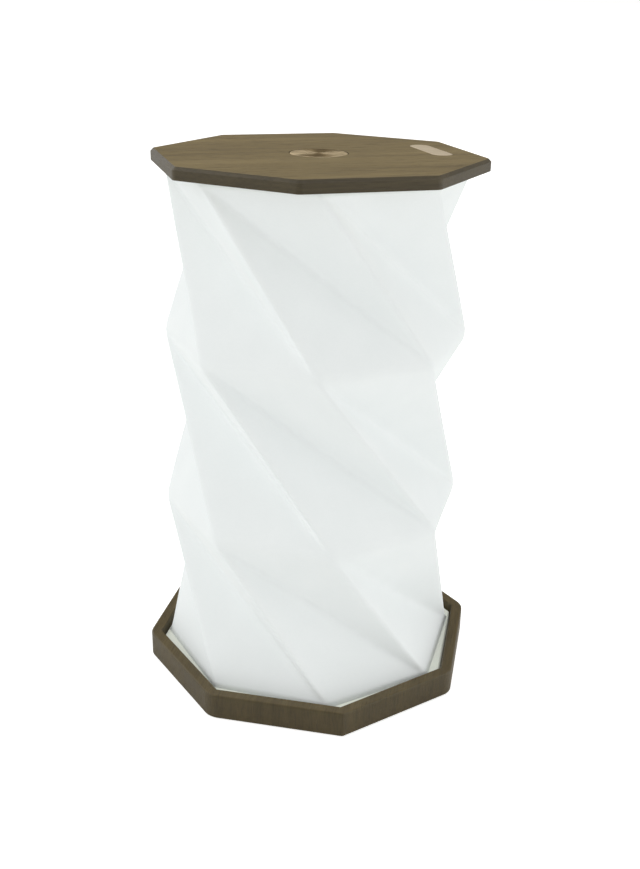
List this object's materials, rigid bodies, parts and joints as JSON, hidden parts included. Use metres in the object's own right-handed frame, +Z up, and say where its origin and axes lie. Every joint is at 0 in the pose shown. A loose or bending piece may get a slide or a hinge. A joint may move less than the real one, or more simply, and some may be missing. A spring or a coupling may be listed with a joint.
{
  "type": "folding paper table lamp",
  "caption": "Octagonal folding table lamp: a creased paper sleeve stands in a wooden tray and carries a wooden lid with a touch disc; the lid screws down into the tray.",
  "frame": {"origin": "on the table under the middle of the tray, at the underside of the foot pads", "axes": "+Z up through the middle of tray, sleeve and lid; +Y towards the rear wall with the charging socket; -Y is the front"},
  "size_m": [0.1256, 0.1256, 0.2052],
  "materials": {
    "walnut": "satin oil",
    "shade_paper": "matt coated paper",
    "brass": "spun",
    "rose_metal": "satin",
    "white_moulding": "fine spark texture",
    "opal_moulding": "opal",
    "dark_moulding": "fine spark texture",
    "silicone": "matt",
    "foam": "open cell",
    "screw_steel": "bright zinc",
    "magnet_nickel": "nickel plate",
    "cell_wrap": "foil pouch",
    "circuit_board": "solder mask",
    "white_board": "white solder mask",
    "chip_black": "moulded",
    "lamp_chip": "phosphor",
    "socket_steel": "drawn",
    "clear_moulding": "polished",
    "wire_cover": "smooth",
    "lead_film": "film",
    "contact_copper": "stamped"
  },
  "bodies": {
    "base": {"tray": "walnut", "foot_pads": "silicone", "base_cover": "dark_moulding", "cover_screws": "screw_steel", "shade_deck": "white_moulding", "deck_magnets": "magnet_nickel", "battery_foam": "foam", "battery_cell": "cell_wrap", "control_board": "circuit_board", "board_components": "chip_black", "board_screws": "screw_steel", "socket_shell": "socket_steel", "socket_tongue": "chip_black", "socket_bezel": "dark_moulding", "charge_light": "clear_moulding", "battery_wires": "wire_cover", "lamp_wires": "wire_cover", "led_board": "white_board", "led_chips": "lamp_chip", "lead_socket": "white_moulding", "light_diffuser": "opal_moulding"},
    "shade": {"paper_shade": "shade_paper", "touch_lead": "lead_film"},
    "lid": {"lid_board": "walnut", "head_plate": "white_moulding", "lid_magnets": "magnet_nickel", "touch_disc": "brass", "touch_contact": "contact_copper", "inlay_plate": "rose_metal"}
  },
  "joints": [
    {"name": "lid_drop", "type": "slide", "parent": "base", "child": "shade", "axis": [0, 0, -1], "range_m": [0, 0.191], "deforming": ["paper_shade", "touch_lead"]},
    {"name": "lid_turn", "type": "hinge", "parent": "shade", "child": "lid", "pos_m": [0, 0, 0.2007], "axis": [0, 0, -1], "range_deg": [0, 118.7]}
  ],
  "couplings": [
    {"joint": "lid_turn", "follows": "lid_drop", "rad_per_m": 10.847}
  ]
}
